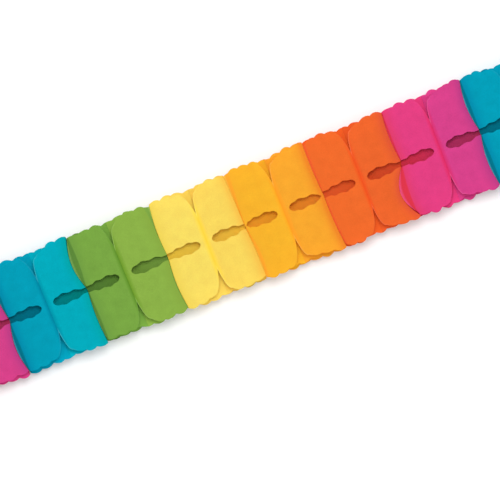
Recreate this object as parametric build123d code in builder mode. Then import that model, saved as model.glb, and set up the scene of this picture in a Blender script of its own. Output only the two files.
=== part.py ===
import math
import os

from build123d import *

# A run of tissue paper garland lying flat, in mm.
# X runs along the garland, Y across it and Z up, and the floor is at Z = 0.

# The run
colours = ["pink", "turquoise", "green", "yellow", "gold", "orange", "pink", "turquoise"]
colour_pitch = 76.2
panel_reach = colour_pitch / 2
run_length = colour_pitch * len(colours)

# One sheet
sheet_width = 101.6
sheet_thickness = 0.2
glue_film = 0.05

# The folds, from the middle of a leaf to its top
seam_height = 4
bend_size = 0.6
panel_rise = 2.6
lip_height = 1.0

# Scallops along both sides
scallops_per_panel = 3.5
scallop_depth = 2
scallop_corner_shares = [0, 0.3, 0.7]

# Rounded corners of the two outer panels, where their sides also taper
lip_half_length = 25
taper_depth = 5
taper_run = 20
corner_run = 10
corner_power = 3
corner_chord_shares = [0, 0.1, 0.22, 0.38, 0.6, 1]

# The slot in each outer panel: distance from the seam, and half its width
slot_outline = [
    (0, 1.9),
    (4.8, 2.2),
    (7.5, 3.7),
    (10.2, 4.5),
    (14.6, 3.9),
    (18.4, 4.5),
    (21.7, 5.3),
    (25, 4.1),
    (28.8, 3.6),
    (31.2, 2),
]
slot_tip = 32

# Heights of the folds above the middle fold
seam_offset = sheet_thickness / 2 + glue_film / 2
inner_panel_low = seam_height / 2 + bend_size
inner_panel_high = inner_panel_low + panel_rise
side_seam_low = inner_panel_high + bend_size
side_seam_middle = side_seam_low + seam_height / 2
outer_panel_low = side_seam_low + seam_height + bend_size
outer_panel_high = outer_panel_low + panel_rise
lip_low = outer_panel_high + bend_size
half_height = lip_low + lip_height

near_seam = seam_offset
near_panel = seam_offset + bend_size
far_panel = panel_reach - seam_offset - bend_size
far_seam = panel_reach - seam_offset

# The folded sheet seen along Y, from its middle fold up, then the same downwards
upper_folds = [
    (far_seam, seam_height / 2),
    (far_panel, inner_panel_low),
    (near_panel, inner_panel_high),
    (near_seam, side_seam_low),
    (near_seam, side_seam_low + seam_height),
    (near_panel, outer_panel_low),
    (far_panel, outer_panel_high),
    (far_seam, lip_low),
    (far_seam, half_height),
]
lower_folds = [(x, -z) for x, z in reversed(upper_folds)]

# The scalloped sides seen from above
scallop_pitch = panel_reach / scallops_per_panel
scallop_side = []
for scallop in range(math.ceil(scallops_per_panel)):
    for share in scallop_corner_shares:
        along = (scallop + share) * scallop_pitch
        if along < panel_reach:
            dip = scallop_depth * (2 * share - 1) ** 2
            scallop_side.append((along, sheet_width / 2 - dip))
scallop_side.append((panel_reach, sheet_width / 2))
other_side = [(x, -y) for x, y in reversed(scallop_side)]

# A rounded corner, from the end of the glued lip out to the side and along its taper
corner_depth = sheet_width / 2 - taper_depth - lip_half_length
corner_curve = []
for share in corner_chord_shares:
    from_end = corner_run * share
    taper = taper_depth * (1 - from_end / taper_run)
    rounding = corner_depth * (1 - share) ** corner_power
    corner_curve.append((panel_reach - from_end, sheet_width / 2 - taper - rounding))
corner_curve.append((panel_reach - taper_run, sheet_width / 2))
corner_outside = [
    (panel_reach - taper_run, sheet_width),
    (colour_pitch, sheet_width),
    (colour_pitch, lip_half_length),
]

slot_side = [(-slot_tip, slot_outline[0][1])] + slot_outline + [(slot_tip, 0)]
slot_other_side = [(x, -y) for x, y in reversed(slot_side[:-1])]

# One leaf, with its side seam at X = 0, its lips at X = panel_reach and its middle fold at Z = 0
with BuildPart() as leaf:
    with BuildSketch(Plane.XZ) as folded_section:
        with BuildLine():
            Polyline(*lower_folds, *upper_folds)
            offset(amount=sheet_thickness / 2, side=Side.BOTH, kind=Kind.INTERSECTION)
        make_face()
    extrude(amount=sheet_width / 2, both=True)

    with BuildSketch() as scalloped_plan:
        with BuildLine():
            Polyline(*scallop_side, *other_side, close=True)
        make_face()
    extrude(amount=half_height, both=True, mode=Mode.INTERSECT)

    with BuildSketch(Plane.XY.offset(side_seam_middle)) as outer_panel_cuts:
        with BuildLine():
            Polyline(*slot_side, *slot_other_side, close=True)
        make_face()
        with BuildLine():
            Polyline(*corner_curve, *corner_outside, close=True)
        corner = make_face()
        mirror(corner, about=Plane.XZ)
    cutter = extrude(amount=half_height, mode=Mode.SUBTRACT)
    mirror(cutter, about=Plane.XY, mode=Mode.SUBTRACT)

# Every leaf in its place: two to a colour, the second the mirror image of the first
os.makedirs("parts", exist_ok=True)
nodes = []
for index, colour in enumerate(colours):
    start = -run_length / 2 + index * colour_pitch
    with BuildPart() as left_leaf:
        with Locations((start, 0, half_height)):
            add(leaf.part)
    with BuildPart() as right_leaf:
        add(left_leaf.part.mirror(Plane.YZ.offset(start + panel_reach)))
    for side, placed in enumerate([left_leaf, right_leaf]):
        placed.part.label = f"leaf_{2 * index + side + 1:02d}_{colour}"
        nodes.append(placed.part)

for node in nodes:
    export_step(node, f"parts/{node.label}.step")
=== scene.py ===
import math

import bmesh
import bpy
import numpy as np
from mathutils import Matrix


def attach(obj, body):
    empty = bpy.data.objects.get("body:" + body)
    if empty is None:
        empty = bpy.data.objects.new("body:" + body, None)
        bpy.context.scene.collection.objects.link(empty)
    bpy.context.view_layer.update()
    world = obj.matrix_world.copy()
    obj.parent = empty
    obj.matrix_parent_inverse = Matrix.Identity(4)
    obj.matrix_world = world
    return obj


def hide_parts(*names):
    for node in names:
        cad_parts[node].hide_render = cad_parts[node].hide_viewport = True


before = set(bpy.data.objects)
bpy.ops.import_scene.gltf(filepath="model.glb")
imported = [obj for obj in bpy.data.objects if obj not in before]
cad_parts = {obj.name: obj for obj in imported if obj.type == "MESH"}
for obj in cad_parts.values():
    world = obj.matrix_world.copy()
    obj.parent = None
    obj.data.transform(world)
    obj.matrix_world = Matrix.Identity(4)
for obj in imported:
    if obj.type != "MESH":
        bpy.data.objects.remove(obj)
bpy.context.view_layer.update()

mm = 0.001

# The run of leaves, as in the solids: two to a colour
colours = ["pink", "turquoise", "green", "yellow", "gold", "orange", "pink", "turquoise"]
sides = ["left", "right"]
colour_pitch = 76.2 * mm
run_start = -colour_pitch * len(colours) / 2

# One flat sheet before it is folded, from its middle fold out to either end
half_width = 50.8 * mm
half_middle_seam = 2.6 * mm
inner_panel = 38.1 * mm
side_seam = 5.6 * mm
groove_strip = 1.8 * mm
outer_panel = 39.4 * mm
paper_thickness = 0.12 * mm
side_seam_start = half_middle_seam + inner_panel
strip_start = side_seam_start + side_seam
panel_start = strip_start + groove_strip
half_length = panel_start + outer_panel

# Scallops along both sides
scallop_pitch = 10.9 * mm
scallop_depth = 1.5 * mm

# Rounded corners at the ends, where the sides also taper: by leaf, and by the half across the garland
end_half_length = 25 * mm
taper_depths = {
    "left": {"far": 1.5 * mm, "near": 5 * mm},
    "right": {"far": 6.5 * mm, "near": 5 * mm},
}
taper_run = 20 * mm
corner_run = 10 * mm
corner_powers = {"left": 2.3, "right": 4}

# The slot in each outer panel: distance from the side fold and half its width, in mm
slot_outline = [
    (0, 1.8),
    (3.6, 2.0),
    (5.6, 2.7),
    (8.2, 4.0),
    (10.2, 4.6),
    (12.3, 4.3),
    (14.9, 3.9),
    (17.4, 4.3),
    (19.8, 5.0),
    (21.7, 5.4),
    (23.4, 5.0),
    (25.7, 4.1),
    (27.4, 3.9),
    (29.3, 3.6),
    (30.8, 2.8),
    (31.7, 1.8),
    (32.2, 0.9),
]
slot_tip = slot_outline[-1][0] * mm
slot_middle = slot_tip / 2
slot_start = side_seam_start + side_seam / 2
slot_stretches = {"left": 1, "right": 1.035}
neck_half_widths = {"left": 2.9 * mm, "right": 2.3 * mm}

# Slots that are pressed shut at the side fold: how far from the fold, where they are fully open again,
# and how far across the leaf the paper gives way
shut_colours = ["gold"]
shut_reaches = {"left": 1.2 * mm, "right": 2.2 * mm}
open_reaches = {"left": 3.4 * mm, "right": 4.6 * mm}
shut_half_width = 0.05 * mm
shut_slack = 12 * mm

# Heights of the folds above the floor
middle_height = 14.6 * mm
seam_low_height = 18.6 * mm
fold_height = 25.4 * mm
end_height = 28.2 * mm

# How the outer panels bow up, the inner ones sag, and the sides of the inner ones curl up at the middle seam
outer_crown = 0.7 * mm
inner_sag = 0.4 * mm
far_curl = 4.5 * mm
near_curl = 2 * mm
curl_power = 6
curl_fade_power = 2

# Glued seams: the play between two leaves, how far a seam leans, how far the upper fold at a side seam
# stops short of it, how the lower fold is pressed down beside it, and how far a closed fold stands off
seam_clearance = 0.1 * mm
seam_lean = 0.5 * mm
seam_reveal = 0.2 * mm
under_fold_drop = 0.5 * mm
under_fold_reach = 2 * mm
closed_stand_off = 0.15 * mm

# How a side seam sinks where a fold stands open beside it
dip_opening = 1 * mm
dip_share = 0.2
deepest_dip = 1.4 * mm

# How softly a leaf bends at its side fold, and how sharply where the fold stands open
soft_bend = 2 * mm
sharp_bend = 0.9 * mm
soft_opening = 1 * mm
sharp_opening = 6 * mm
bend_lead = 0.8 * mm
longest_bend_share = 0.7
bend_start = panel_start - bend_lead
bend_end = panel_start + soft_bend

# The lapped ends of a colour's two leaves: the right one reaches past the line where they meet, over the
# left one, which stops short of that line and lies lower
right_end_reach = 0.9 * mm
left_end_gap = 0.5 * mm
lap_drop = 0.4 * mm

# How uneven the outer panels lie, freely at some distance from their folds and ends
wave_lengths = [60 * mm, 38 * mm, 24 * mm, 15 * mm]
panel_waviness = 0.006
loose_from_fold = 10 * mm
loose_from_end = 12 * mm
least_loose_share = 0.1

# How uneven the scalloped sides run, except where the middle seam holds them
side_waviness = 0.022
side_wave_power = 4
side_wave_seed = 100
side_height_stretch = 3
glued_reach = 12 * mm

# How far the second layer has slipped towards the near side
second_layer_slip = 0.7 * mm
slip_power = 2

# The mesh of a sheet: the lines across each stretch of it, and the rows along each half
middle_seam_lines = 2
inner_panel_lines = 28
side_seam_lines = 3
strip_lines = 5
bend_lines = 8
outer_panel_lines = 34
corner_lines = 14
corner_spacing_power = 1.6
rows_per_half = 26
rib_half_width = 0.8 * mm
rim_width = 0.8 * mm
widest_rim = 5 * mm
slope_step = 0.1 * mm
centre_tolerance = 0.01 * mm
sharp_fold_angle = math.radians(60)

# The side seams in turn: the shift of a seam's line along the garland, then how far the folds left and
# right of it stand off that line, on the far half and then on the near half, each with its belly and its
# end, in mm, and last the side of the upper fold, which the seam follows
side_seams = [
    (0.0, (0.5, 0.5), (0.5, 0.5), (0.5, 0.5), (0.5, 0.5), "left"),
    (0.0, (3.0, 0.4), (0.6, 0.4), (4.2, 0.2), (0.6, 0.6), "left"),
    (-0.6, (5.2, 0.3), (1.4, 1.2), (1.7, 0.2), (1.2, 1.4), "left"),
    (1.5, (0.4, 4.4), (-1.5, 1.6), (2.8, 0.6), (-2.0, 0.4), "right"),
    (-0.2, (0.1, 1.2), (1.6, 4.2), (-0.8, -1.3), (4.0, 3.4), "left"),
    (0.0, (1.1, 0.9), (0.8, 1.4), (0.7, -2.2), (1.0, 3.4), "left"),
    (0.0, (2.0, 0.2), (0.2, 0.2), (11.2, 0.6), (-2.6, -2.8), "left"),
    (0.0, (3.5, 0.2), (0.6, 0.4), (3.7, 1.2), (0.6, 0.4), "left"),
    (0.0, (0.5, 0.5), (0.5, 0.5), (0.5, 0.5), (0.5, 0.5), "left"),
]

# Where the lapped ends of each colour meet: shift from the colour's middle and lean across it, in mm
end_seams = [(0, 0), (0.0, -0.6), (-0.9, -0.5), (1.8, 0.5), (0.2, -0.3), (-0.5, 0.3), (-0.5, 1.1), (0, 0)]

# Tissue dyes, of the left and of the right leaf of a colour
dyes = {
    "pink": ((0.77, 0.0555, 0.243), (0.7, 0.06, 0.278)),
    "turquoise": ((0.001, 0.372, 0.51), (0.001, 0.437, 0.535)),
    "green": ((0.21, 0.415, 0.064), (0.281, 0.468, 0.071)),
    "yellow": ((1.0, 0.735, 0.137), (1.0, 0.695, 0.121)),
    "gold": ((0.99, 0.487, 0.0285), (0.99, 0.417, 0.031)),
    "orange": ((0.905, 0.162, 0.028), (0.868, 0.146, 0.029)),
}

# What double paper, and the painted shade on the second layer under the slots, show of the dye's red, green
# and blue
double_and_slot_shade_shares = {
    "pink": (1.05, 0.55, 0.6),
    "turquoise": (0.1, 0.73, 0.8),
    "green": (0.61, 0.75, 0.39),
    "yellow": (1, 1.05, 0.5),
    "gold": (1, 0.92, 0.75),
    "orange": (1, 0.68, 0.65),
}

# Painted light on the second layer, against the shade of the outer panels over it: how much lighter than its
# dye it is painted, away from the slots
second_layer_light_shares = {
    "pink": 1.25,
    "turquoise": 1.36,
    "green": 1.36,
    "yellow": 1.12,
    "gold": 1.24,
    "orange": 1.1,
}

# Painted shade along the side seam and in the slots, coloured by the next colour's light: what the left and
# the right leaf show of their dye there
seam_shade_shares = {
    "pink": ((1, 0.8, 0.34), (0.72, 0.7, 0.48)),
    "turquoise": ((1, 0.56, 0.58), (1, 0.72, 0.5)),
    "green": ((0.62, 0.7, 0.8), (0.83, 0.9, 1)),
    "yellow": ((0.92, 0.93, 0.5), (1, 0.96, 0.53)),
    "gold": ((0.97, 0.92, 1.2), (0.92, 0.77, 1.1)),
    "orange": ((1, 0.92, 1.3), (0.93, 0.67, 1.25)),
}

# Painted shade on the outer panel beside the side fold, coloured by the next colour's light: what the left
# and the right leaf show of their dye there
fold_shade_shares = {
    "pink": ((1, 0.98, 0.74), (0.79, 0.9, 0.95)),
    "turquoise": ((1, 0.8, 0.89), (1, 0.95, 0.82)),
    "green": ((0.9, 0.92, 1), (0.97, 0.94, 0.9)),
    "yellow": ((0.97, 0.95, 0.83), (1, 0.82, 0.7)),
    "gold": ((1, 0.98, 1.05), (0.95, 0.64, 0.8)),
    "orange": ((1, 1, 1), (0.92, 0.76, 1.35)),
}

# Where the paper is double, and where painted shade, painted light and painted highlights lie on it
paper_layers = ["corner_highlight", "double_paper_and_slot_shade", "painted_second_layer_light", "painted_seam_shade", "painted_fold_shade", "crease_highlight"]
lap_width = 4 * mm
lap_fade_power = 0.8
slot_light_start = 8 * mm
slot_light_end = 20 * mm
# How strong the painted shade on the second layer under the slots is
slot_shade_share = 0.3
slot_tip_shade_share = 0.4
strip_fade = 0.8 * mm
# How far the painted shade beside the side fold reaches, and how strong it is along that reach
fold_shade_reach = 13 * mm
fold_shade_place_shares = [0, 0.05, 0.15, 0.3, 0.5, 0.75, 1]
fold_shade_strength_shares = [0, 1, 1, 0.62, 0.28, 0.1, 0]
# Painted highlights along the creases, the free corners and the lapped ends, stronger on the right leaves
crease_highlight_width = 0.4 * mm
corner_highlight_power = 0.5
end_highlight_share = 0.5
corner_highlight_shares = {"left": 0.3, "right": 1}

# Tissue paper: clouds in the dye, the whitening of its painted highlights, fibres, how matt it is and how
# much light goes through
deep_dye_share = 0.75
light_dye_share = 1.25
highlight_whitening = 0.08
cloud_scale = 110
cloud_detail = 4
fibre_scale = 900
fibre_detail = 2
fibre_share = 0.5
grain_depth = 0.1 * mm
grain_strength = 0.3
paper_roughness = 0.95
paper_shine = 0.03
see_through_share = 0.3

# Floor and light
floor_half_size = 4000 * mm
floor_white = (0.97, 0.97, 0.97, 1)
floor_roughness = 0.9
floor_whitening_share = 0.08
world_strength = 0.85
lamp_distance = 1600 * mm
lamp_size = 550 * mm
lamp_rise = math.radians(78)
lamp_power = 12.3

# The photograph's view, at the height of the side folds
picture_turn = math.radians(21.84)
picture_width = 450.5 * mm
picture_centre = (-3.79 * mm, -21.46 * mm)
camera_lens = 200
camera_sensor = 36


def slot_half_width(from_fold, side):
    """Half the slot's width at a distance from the side fold, on a smooth curve through its outline."""
    place = from_fold / slot_stretches[side] / mm
    places, half_widths = np.array(slot_outline).T
    if place > places[-1]:
        return rib_half_width
    slopes = np.gradient(half_widths, places)
    step = int(np.clip(np.searchsorted(places, place) - 1, 0, len(places) - 2))
    reach = places[step + 1] - places[step]
    share = max(place - places[step], 0) / reach
    next_share = share ** 2 * (3 - 2 * share)
    level = half_widths[step] * (1 - next_share) + half_widths[step + 1] * next_share
    turn = share * (1 - share) ** 2 * slopes[step] - share ** 2 * (1 - share) * slopes[step + 1]
    slot_half = float(level + reach * turn) * mm
    if from_fold < slot_middle:
        return max(slot_half, neck_half_widths[side])
    return slot_half


def sheet_half_width(along, side, half):
    """Half the sheet's width at a distance from its middle, with its scallops and rounded corners."""
    from_seam = side_seam_start - along if along < side_seam_start else max(along - panel_start, 0)
    share = (from_seam / scallop_pitch) % 1
    scalloped = half_width - scallop_depth * (2 * share - 1) ** 2
    from_end = half_length - along
    taper_depth = taper_depths[side][half]
    corner_depth = half_width - taper_depth - end_half_length
    taper = taper_depth * max(1 - from_end / taper_run, 0)
    corner = corner_depth * max(1 - from_end / corner_run, 0) ** corner_powers[side]
    return max(scalloped - taper - corner, end_half_length)


def spaced(start, end, count):
    """Even places from start to just before end."""
    return [start + (end - start) * step / count for step in range(count)]


def sheet_columns():
    """Places along the sheet where its mesh has a line across, from one end to the other."""
    upper = spaced(0, half_middle_seam, middle_seam_lines)
    upper += spaced(half_middle_seam, side_seam_start, inner_panel_lines)
    upper += spaced(side_seam_start, strip_start, side_seam_lines)
    upper += spaced(strip_start, bend_start, strip_lines)
    upper += spaced(bend_start, bend_end, bend_lines)
    upper += spaced(bend_end, half_length - corner_run, outer_panel_lines)
    for line in range(corner_lines, -1, -1):
        upper.append(half_length - corner_run * (line / corner_lines) ** corner_spacing_power)
    return [-place for place in reversed(upper[1:])] + upper


def sheet_rows(along, side, half):
    """Places across half the sheet where its mesh has a line along, from the slot out to the side."""
    inner = slot_half_width(along - panel_start, side)
    if along < slot_start:
        inner = rib_half_width
    outer = sheet_half_width(along, side, half)
    slope = 0
    if along > half_length - corner_run:
        slope = (sheet_half_width(along - slope_step, side, half) - outer) / slope_step
    rim = min(rim_width * math.hypot(1, slope), widest_rim)
    middle_rows = rows_per_half - 2
    middle = [
        inner + rim_width + (outer - rim - inner - rim_width) * row / (middle_rows - 1)
        for row in range(middle_rows)
    ]
    return [inner] + middle + [outer]


def paper_values(along, away, at_side):
    """What the flat sheet's paper is like, with its painted shade, light and highlights, at a place along
    from its middle and away from its centre line.
    """
    from_end = half_length - along
    from_fold = along - panel_start
    shade_place = from_fold / fold_shade_reach
    values = {
        "corner_highlight": 0.0,
        "double_paper_and_slot_shade": max(1 - from_end / lap_width, 0) ** lap_fade_power,
        "painted_second_layer_light": 0.0,
        # Painted shade on the side seam and its groove strip, fading out just past the side fold
        "painted_seam_shade": float(np.interp(from_fold, [0, strip_fade], [1, 0])),
        # Painted shade on the outer panel, strongest just past the side fold and gone further out
        "painted_fold_shade": float(np.interp(shade_place, fold_shade_place_shares, fold_shade_strength_shares)),
        "crease_highlight": max(1 - abs(along - strip_start) / crease_highlight_width, 0),
    }
    # Painted highlight along the free corners and along the end
    if at_side:
        corner_share = max(1 - from_end / corner_run, 0)
        values["corner_highlight"] = corner_share ** corner_highlight_power if from_end > 0 else end_highlight_share
    if along < side_seam_start:
        outside = float(np.interp(away, [slot_light_start, slot_light_end], [0, 1]))
        slot_shade = np.interp(along, [half_middle_seam, side_seam_start], [slot_tip_shade_share, 1])
        # Painted light on the second layer away from the slots
        values["painted_second_layer_light"] = outside
        # Painted shade on the second layer under the slots, in the colour of double paper
        values["double_paper_and_slot_shade"] = slot_shade_share * (1 - outside)
        # Painted shade in the slots, coloured by the next colour's light, weaker under the slot's tip
        values["painted_seam_shade"] = (1 - outside) * float(slot_shade)
    return values


def cut_sheet(side):
    """A flat sheet with its slots, scallops and rounded corners, with X along it and Y across it."""
    columns = sheet_columns()
    rows = {
        (place, half): sheet_rows(abs(place), side, half)
        for place in columns
        for half in ("far", "near")
    }
    last_column = len(columns) - 1
    last_row = 2 * rows_per_half - 1
    sheet = bmesh.new()
    bmesh.ops.create_grid(sheet, x_segments=last_column, y_segments=last_row, size=1)
    layers = {name: sheet.verts.layers.float.new(name) for name in paper_layers}
    for vert in sheet.verts:
        column = round((vert.co.x + 1) / 2 * last_column)
        row = round((vert.co.y + 1) / 2 * last_row) - rows_per_half
        place = columns[column]
        half = "far" if row >= 0 else "near"
        line = row if half == "far" else -row - 1
        away = rows[place, half][line]
        vert.co = (place, away if half == "far" else -away, 0)
        values = paper_values(abs(place), away, at_side=line == rows_per_half - 1)
        for name, value in values.items():
            vert[layers[name]] = value
    slot_end = panel_start + slot_tip * slot_stretches[side]
    in_slots = []
    for face in sheet.faces:
        centre = face.calc_center_median()
        if abs(centre.y) < centre_tolerance and slot_start < abs(centre.x) < slot_end:
            in_slots.append(face)
    bmesh.ops.delete(sheet, geom=in_slots, context="FACES")
    mesh = bpy.data.meshes.new("cut_sheet")
    sheet.to_mesh(mesh)
    sheet.free()
    return mesh


def stand_off(across, far, near):
    """How far a fold stands off its seam across the garland, from its belly and its end on each half."""
    share = np.abs(across) / half_width
    belly = np.where(across > 0, far[0], near[0]) * mm
    end = np.where(across > 0, far[1], near[1]) * mm
    return closed_stand_off + belly * np.sin(np.pi * np.clip(share, 0, 1)) + end * share ** 2


def fold_lines(number, across):
    """Places along the garland of the fold left of a side seam, of the seam and of the fold right of it."""
    shift, left_far, right_far, left_near, right_near, over = side_seams[number]
    line = run_start + number * colour_pitch + shift * mm
    left = line - stand_off(across, left_far, left_near)
    right = line + stand_off(across, right_far, right_near)
    seam = left + seam_reveal if over == "left" else right - seam_reveal
    return left, seam, right


def points(x, z, like):
    """Points along the garland and above the floor, one for each place across it."""
    return np.stack([np.broadcast_to(x, like.shape), np.broadcast_to(z, like.shape)], axis=-1)


def between(start, end, share):
    """Points at a share of the way from start to end."""
    return start + (end - start) * share[:, None]


def towards(start, end, reach):
    """Points at a reach from start on the way to end, well short of the end."""
    length = np.linalg.norm(end - start, axis=-1)
    return between(start, end, np.minimum(reach / length, longest_bend_share))


def bow(share):
    """A bow over a stretch: nothing at both ends and 1 in the middle."""
    return 4 * share * (1 - share)


def folded(along, across, colour_number, side):
    """Where the points of a flat sheet lie once it is folded: along the garland, and above the floor."""
    facing = 1 if side == "left" else -1
    seam_number = colour_number + sides.index(side)
    left_fold, seam, right_fold = fold_lines(seam_number, across)
    fold = right_fold if side == "left" else left_fold
    shift, lean = end_seams[colour_number]
    colour_middle = run_start + (colour_number + 0.5) * colour_pitch
    meeting = colour_middle + shift * mm + lean * mm * across / half_width
    clear = facing * seam_clearance
    opening = np.clip(facing * (fold - seam), 0, None)
    dip = np.clip(dip_share * (opening - dip_opening), 0, deepest_dip)

    middle = points(meeting - clear + seam_lean, middle_height, across)
    middle_top = points(meeting - clear, middle_height + half_middle_seam, across)
    seam_low = points(seam + clear - seam_lean, seam_low_height - dip, across)
    seam_high = points(seam + clear, seam_low_height + side_seam - dip, across)
    drop = 0
    if side_seams[seam_number][-1] == side:
        drop = under_fold_drop * np.clip(1 - (opening + seam_reveal) / under_fold_reach, 0, 1)
    bend = points(fold, fold_height - drop, across)
    end = points(meeting - right_end_reach, end_height, across)
    if side == "left":
        end = points(meeting - left_end_gap, end_height - lap_drop, across)
    softness = np.interp(opening, [soft_opening, sharp_opening], [soft_bend, sharp_bend])
    before_bend = towards(bend, seam_high, softness)
    after_bend = towards(bend, end, softness)

    place = np.abs(along)
    turn = (place - bend_start) / (bend_end - bend_start)
    stretches = [
        (bend_end, half_length, after_bend, end),
        (strip_start, bend_start, seam_high, before_bend),
        (side_seam_start, strip_start, seam_low, seam_high),
        (half_middle_seam, side_seam_start, middle_top, seam_low),
        (0, half_middle_seam, middle, middle_top),
    ]
    found = between(between(before_bend, bend, turn), between(bend, after_bend, turn), turn)
    for start, stop, first, last in stretches:
        inside = (place >= start) & ((place < stop) | (stop == half_length))
        straight = between(first, last, (place - start) / (stop - start))
        found = np.where(inside[:, None], straight, found)

    outer_share = np.clip((place - bend_end) / (half_length - bend_end), 0, 1)
    inner_share = np.clip((place - half_middle_seam) / inner_panel, 0, 1)
    curl = np.where(across > 0, far_curl, near_curl) * (across / half_width) ** curl_power
    curl *= np.minimum(place / half_middle_seam, 1) * (1 - inner_share) ** curl_fade_power
    z = found[:, 1] + outer_crown * bow(outer_share) - inner_sag * bow(inner_share) + curl
    return found[:, 0], np.where(along < 0, 2 * middle_height - z, z)


def waves(x, y, seed):
    """Slight unevenness of a hand-opened sheet."""
    draw = np.random.default_rng(seed)
    total = np.zeros_like(x)
    for length in wave_lengths:
        turn = draw.uniform(0, 2 * math.pi)
        phase = draw.uniform(0, 2 * math.pi)
        total += length * np.sin((x * math.cos(turn) + y * math.sin(turn)) * 2 * math.pi / length + phase)
    return total


def neck_closing(place, across, side):
    """How far points move to the centre line where a slot is pressed shut at the side fold."""
    neck = neck_half_widths[side]
    shut = panel_start + shut_reaches[side]
    opened = panel_start + open_reaches[side]
    along_share = np.interp(place, [side_seam_start, slot_start, shut, opened], [0, 1, 1, 0])
    across_share = np.interp(np.abs(across), [neck, shut_slack], [1, 0])
    return (neck - shut_half_width) * along_share * across_share


def lie(along, across, colour_number, side, number):
    """Where the points of a flat sheet lie in the garland, folded and a little uneven."""
    place = np.abs(along)
    x, z = folded(along, across, colour_number, side)
    loose = np.clip((place - bend_end) / loose_from_fold, 0, 1)
    loose *= np.clip((half_length - place) / loose_from_end, least_loose_share, 1)
    z = z + panel_waviness * loose * waves(x, across, number)
    slip = second_layer_slip * np.clip(1 - place / side_seam_start, 0, 1) ** slip_power
    side_share = np.sign(across) * (across / half_width) ** side_wave_power
    side_share *= np.clip(place / glued_reach, 0, 1)
    side_waves = waves(x, side_height_stretch * z, number + side_wave_seed)
    y = across - slip + side_waviness * side_share * side_waves
    if colours[colour_number] in shut_colours:
        y = y - np.sign(across) * neck_closing(place, across, side)
    return x, y, z


def paper_grain(tree):
    """Clouds in the dye and fine fibres, as one value that changes over the paper."""
    place = tree.nodes.new("ShaderNodeTexCoord")
    grain = tree.nodes.new("ShaderNodeMix")
    grain.data_type = "FLOAT"
    grain.inputs["Factor"].default_value = fibre_share
    for socket, scale, detail in (("A", cloud_scale, cloud_detail), ("B", fibre_scale, fibre_detail)):
        noise = tree.nodes.new("ShaderNodeTexNoise")
        noise.inputs["Scale"].default_value = scale
        noise.inputs["Detail"].default_value = detail
        tree.links.new(place.outputs["Object"], noise.inputs["Vector"])
        tree.links.new(noise.outputs["Fac"], grain.inputs[socket])
    return grain.outputs["Result"]


def sheet_value(tree, layer):
    """One of the values that the points of a sheet hold."""
    reader = tree.nodes.new("ShaderNodeAttribute")
    reader.attribute_name = layer
    return reader.outputs["Fac"]


def painted_highlight(tree, side):
    """Painted highlight: how pale the paper is painted along its creases, and along the free corners of a
    left or a right leaf, where their edges catch the light.
    """
    highlight = tree.nodes.new("ShaderNodeMath")
    highlight.operation = "MULTIPLY_ADD"
    highlight.inputs[1].default_value = corner_highlight_shares[side]
    tree.links.new(sheet_value(tree, "corner_highlight"), highlight.inputs[0])
    tree.links.new(sheet_value(tree, "crease_highlight"), highlight.inputs[2])
    return highlight.outputs["Value"]


def laid_over(tree, ground, share, dye):
    """A dye laid over a ground colour, by a share that changes over the paper."""
    mix = tree.nodes.new("ShaderNodeMix")
    mix.data_type = "RGBA"
    mix.inputs["B"].default_value = (*dye, 1)
    tree.links.new(ground, mix.inputs["A"])
    tree.links.new(share, mix.inputs["Factor"])
    return mix.outputs["Result"]


def shared(dye, shares):
    """A dye with a share of its red, green and blue, none of them over full."""
    return [min(channel * share, 1) for channel, share in zip(dye, shares)]


def tissue(colour, side):
    """Dyed tissue paper: cloudy dye, fine fibres, painted shade, light and highlights, and light through it.
    """
    number = sides.index(side)
    dye = dyes[colour][number]
    deep_dye = [channel * deep_dye_share for channel in dye]
    light_dye = [min(channel * light_dye_share, 1) for channel in dye]
    even_dye = [(deep + light) / 2 for deep, light in zip(deep_dye, light_dye)]
    highlight_dye = [min(channel * light_dye_share + highlight_whitening, 1) for channel in dye]
    second_layer_lit_dye = [min(channel * second_layer_light_shares[colour], 1) for channel in dye]
    laid_dyes = [
        ("double_paper_and_slot_shade", shared(dye, double_and_slot_shade_shares[colour])),
        ("painted_second_layer_light", second_layer_lit_dye),
        ("painted_seam_shade", shared(dye, seam_shade_shares[colour][number])),
        ("painted_fold_shade", shared(even_dye, fold_shade_shares[colour][number])),
    ]

    material = bpy.data.materials.new(f"{colour}_tissue_{side}")
    material.use_nodes = True
    tree = material.node_tree
    tree.nodes.clear()
    grain = paper_grain(tree)
    clouded = tree.nodes.new("ShaderNodeMix")
    clouded.data_type = "RGBA"
    clouded.inputs["A"].default_value = (*deep_dye, 1)
    clouded.inputs["B"].default_value = (*light_dye, 1)
    tree.links.new(grain, clouded.inputs["Factor"])
    shown = clouded.outputs["Result"]
    for layer, laid_dye in laid_dyes:
        shown = laid_over(tree, shown, sheet_value(tree, layer), laid_dye)
    # Painted highlight along the creases and free corners
    shown = laid_over(tree, shown, painted_highlight(tree, side), highlight_dye)

    bump = tree.nodes.new("ShaderNodeBump")
    bump.inputs["Strength"].default_value = grain_strength
    bump.inputs["Distance"].default_value = grain_depth
    tree.links.new(grain, bump.inputs["Height"])
    paper = tree.nodes.new("ShaderNodeBsdfPrincipled")
    paper.inputs["Roughness"].default_value = paper_roughness
    paper.inputs["Specular IOR Level"].default_value = paper_shine
    tree.links.new(shown, paper.inputs["Base Color"])
    tree.links.new(bump.outputs["Normal"], paper.inputs["Normal"])
    through = tree.nodes.new("ShaderNodeBsdfTranslucent")
    through.inputs["Color"].default_value = (*dye, 1)
    sheet = tree.nodes.new("ShaderNodeMixShader")
    sheet.inputs["Fac"].default_value = see_through_share
    tree.links.new(paper.outputs["BSDF"], sheet.inputs[1])
    tree.links.new(through.outputs["BSDF"], sheet.inputs[2])
    out = tree.nodes.new("ShaderNodeOutputMaterial")
    tree.links.new(sheet.outputs["Shader"], out.inputs["Surface"])
    return material


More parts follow.
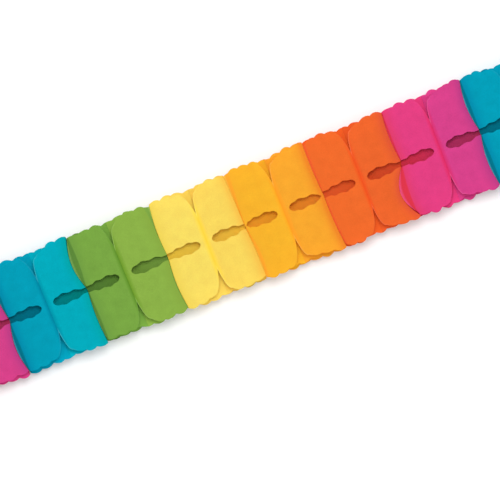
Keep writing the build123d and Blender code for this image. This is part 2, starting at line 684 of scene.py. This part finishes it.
def make_leaf(flat_sheet, colour_number, side, paper):
    """One folded leaf, in the place of its solid."""
    colour = colours[colour_number]
    number = len(sides) * colour_number + sides.index(side) + 1
    node = f"leaf_{number:02d}_{colour}"
    mesh = flat_sheet.copy()
    places = np.empty(len(mesh.vertices) * 3)
    mesh.vertices.foreach_get("co", places)
    along = places[0::3].copy()
    across = places[1::3].copy()
    places[0::3], places[1::3], places[2::3] = lie(along, across, colour_number, side, number)
    mesh.vertices.foreach_set("co", places)
    shell = bmesh.new()
    shell.from_mesh(mesh)
    bmesh.ops.solidify(shell, geom=shell.faces[:], thickness=paper_thickness)
    bmesh.ops.recalc_face_normals(shell, faces=shell.faces[:])
    shell.to_mesh(mesh)
    shell.free()
    mesh.shade_smooth()
    mesh.set_sharp_from_angle(angle=sharp_fold_angle)
    mesh.materials.append(paper)
    leaf = bpy.data.objects.new(f"folded_{node}", mesh)
    bpy.context.collection.objects.link(leaf)
    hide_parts(node)
    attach(leaf, "root")


def white_floor():
    """Matt white paint, a little whiter to the camera and in reflections than its light makes it."""
    material = bpy.data.materials.new("white_floor")
    material.use_nodes = True
    tree = material.node_tree
    matt_white = tree.nodes["Principled BSDF"]
    matt_white.inputs["Base Color"].default_value = floor_white
    matt_white.inputs["Roughness"].default_value = floor_roughness
    matt_white.inputs["Specular IOR Level"].default_value = 0
    plain_white = tree.nodes.new("ShaderNodeEmission")
    plain_white.inputs["Strength"].default_value = 1
    ray = tree.nodes.new("ShaderNodeLightPath")
    seen = ray.outputs["Is Camera Ray"]
    for kind in ("Is Glossy Ray", "Is Transmission Ray"):
        either = tree.nodes.new("ShaderNodeMath")
        either.operation = "MAXIMUM"
        tree.links.new(seen, either.inputs[0])
        tree.links.new(ray.outputs[kind], either.inputs[1])
        seen = either.outputs["Value"]
    whitening = tree.nodes.new("ShaderNodeMath")
    whitening.operation = "MULTIPLY"
    whitening.inputs[1].default_value = floor_whitening_share
    tree.links.new(seen, whitening.inputs[0])
    mix = tree.nodes.new("ShaderNodeMixShader")
    tree.links.new(whitening.outputs["Value"], mix.inputs["Fac"])
    tree.links.new(matt_white.outputs["BSDF"], mix.inputs[1])
    tree.links.new(plain_white.outputs["Emission"], mix.inputs[2])
    tree.links.new(mix.outputs["Shader"], tree.nodes["Material Output"].inputs["Surface"])
    return material


# The leaves
papers = {(colour, side): tissue(colour, side) for colour in dyes for side in sides}
for side in sides:
    flat_sheet = cut_sheet(side)
    for colour_number, colour in enumerate(colours):
        make_leaf(flat_sheet, colour_number, side, papers[colour, side])
    bpy.data.meshes.remove(flat_sheet)

# Floor
floor_mesh = bpy.data.meshes.new("floor")
floor_grid = bmesh.new()
bmesh.ops.create_grid(floor_grid, x_segments=1, y_segments=1, size=floor_half_size)
floor_grid.to_mesh(floor_mesh)
floor_grid.free()
floor_mesh.materials.append(white_floor())
floor = bpy.data.objects.new("floor", floor_mesh)
bpy.context.collection.objects.link(floor)

# Light: an even white surround, and one lamp high up towards the top of the picture
world = bpy.data.worlds.new("studio")
bpy.context.scene.world = world
world.use_nodes = True
surround = world.node_tree.nodes["Background"]
surround.inputs["Color"].default_value = (1, 1, 1, 1)
surround.inputs["Strength"].default_value = world_strength
lamp_data = bpy.data.lights.new("window", "AREA")
lamp_data.size = lamp_size
lamp_data.energy = lamp_power
lamp = bpy.data.objects.new("window", lamp_data)
lamp.location = (
    lamp_distance * math.cos(lamp_rise) * math.sin(picture_turn),
    lamp_distance * math.cos(lamp_rise) * math.cos(picture_turn),
    lamp_distance * math.sin(lamp_rise),
)
lamp.rotation_euler = (math.pi / 2 - lamp_rise, 0, math.pi - picture_turn)
bpy.context.collection.objects.link(lamp)

# Camera, straight above
camera_data = bpy.data.cameras.new("camera")
camera_data.lens = camera_lens
camera_data.sensor_width = camera_sensor
camera = bpy.data.objects.new("camera", camera_data)
camera_height = fold_height + picture_width * camera_lens / camera_sensor
camera.location = (*picture_centre, camera_height)
camera.rotation_euler = (0, 0, -picture_turn)
bpy.context.collection.objects.link(camera)
bpy.context.scene.camera = camera
bpy.context.scene.view_settings.view_transform = "Standard"
